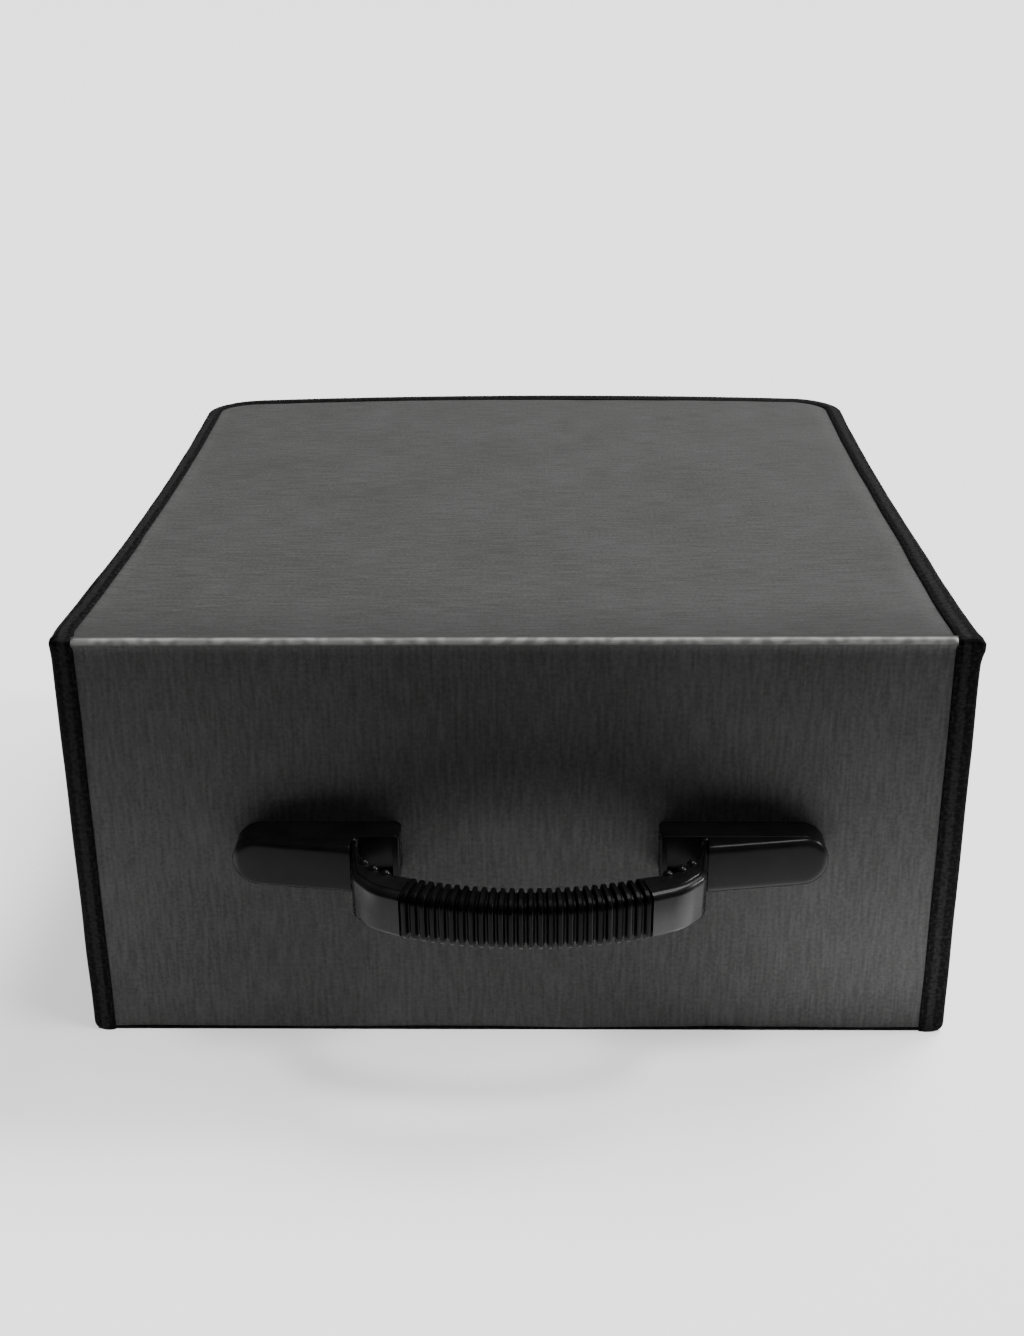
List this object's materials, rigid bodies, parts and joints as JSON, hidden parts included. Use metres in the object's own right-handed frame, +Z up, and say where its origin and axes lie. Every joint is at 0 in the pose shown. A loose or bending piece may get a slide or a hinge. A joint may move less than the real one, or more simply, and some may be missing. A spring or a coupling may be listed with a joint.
{
  "type": "accordion case",
  "caption": "Box-shaped zip-around accordion case with a fold-open lid, padded plush inside, bound edges and a ribbed strap handle on its front face.",
  "frame": {"origin": "middle of the underside, on the surface that the case stands on", "axes": "+X to the right as seen from the handle, +Y from the handle face to the rear, +Z up"},
  "size_m": [0.39, 0.4718, 0.195],
  "materials": {
    "woven_cover": "coated woven oxford cloth, dark grey",
    "board": "pressed wood-fibre board",
    "foam": "closed-cell polyethylene foam sheet",
    "lining": "brushed knit plush, black",
    "edge_tape": "woven binding tape, black, folded over the edge",
    "fold_cover": "coated woven cloth rubbed smooth over a round welt",
    "zip_tape": "woven polyester zip tape, black",
    "zip_coil": "nylon coil, black",
    "zip_metal": "die-cast zinc alloy, black nickel",
    "housing": "injection-moulded, fine matt grain, black",
    "strap": "moulded thermoplastic rubber, black",
    "grip_rubber": "moulded ribbed rubber, satin black",
    "steel": "zinc-plated steel"
  },
  "bodies": {
    "case": {"bottom_fabric": "woven_cover", "bottom_board": "board", "bottom_pad": "foam", "bottom_lining": "lining", "front_fabric": "woven_cover", "front_board": "board", "front_pad": "foam", "front_lining": "lining", "wall_fabric": "woven_cover", "wall_board": "board", "wall_pad": "foam", "wall_lining": "lining", "front_left_tape": "edge_tape", "front_right_tape": "edge_tape", "base_tape": "edge_tape", "fold_welt": "fold_cover", "lower_zip_tape": "zip_tape", "lower_zip_teeth": "zip_coil", "lower_zip_stops": "zip_metal", "handle_base_left": "housing", "handle_base_right": "housing", "handle_hood_left": "housing", "handle_hood_right": "housing", "handle_screws": "steel", "backing_plates": "steel"},
    "lid": {"lid_fabric": "woven_cover", "lid_board": "board", "lid_pad": "foam", "lid_lining": "lining", "lid_tape": "edge_tape", "upper_zip_tape": "zip_tape", "upper_zip_teeth": "zip_coil", "upper_zip_stops": "zip_metal"},
    "grip": {"strap_core": "strap", "grip_sleeve": "grip_rubber", "strap_web_left": "strap", "strap_web_right": "strap"},
    "tongue_left": {"strap_tongue_left": "strap"},
    "tongue_right": {"strap_tongue_right": "strap"},
    "slider_left": {"zip_slider_left": "zip_metal"},
    "slider_right": {"zip_slider_right": "zip_metal"},
    "pull_left": {"zip_pull_left": "zip_metal"},
    "pull_right": {"zip_pull_right": "zip_metal"}
  },
  "joints": [
    {"name": "lid_hinge", "type": "hinge", "parent": "case", "child": "lid", "pos_m": [0, -0.1986, 0.1926], "axis": [1, 0, 0], "range_deg": [0, 180]},
    {"name": "grip_press", "type": "slide", "parent": "case", "child": "grip", "axis": [0, 1, 0], "range_m": [-0.004, 0.028], "stiffness_N_per_m": 300, "deforming": ["strap_web_left", "strap_web_right"]},
    {"name": "tongue_left_slide", "type": "slide", "parent": "case", "child": "tongue_left", "axis": [-1, 0, 0], "range_m": [-0.00264, 0.01848]},
    {"name": "tongue_right_slide", "type": "slide", "parent": "case", "child": "tongue_right", "axis": [1, 0, 0], "range_m": [-0.00264, 0.01848]},
    {"name": "slider_left_slide", "type": "slide", "parent": "case", "child": "slider_left", "axis": [-1, 0, 0], "range_m": [0, 0.135]},
    {"name": "slider_right_slide", "type": "slide", "parent": "case", "child": "slider_right", "axis": [1, 0, 0], "range_m": [0, 0.135]},
    {"name": "pull_left_hinge", "type": "hinge", "parent": "slider_left", "child": "pull_left", "pos_m": [-0.0062, 0.2056, 0.1753], "axis": [1, 0, 0], "range_deg": [-4, 165]},
    {"name": "pull_right_hinge", "type": "hinge", "parent": "slider_right", "child": "pull_right", "pos_m": [0.0062, 0.2056, 0.1753], "axis": [1, 0, 0], "range_deg": [-4, 165]}
  ],
  "couplings": [
    {"joint": "tongue_left_slide", "follows": "grip_press", "ratio": 0.66},
    {"joint": "tongue_right_slide", "follows": "grip_press", "ratio": 0.66}
  ]
}
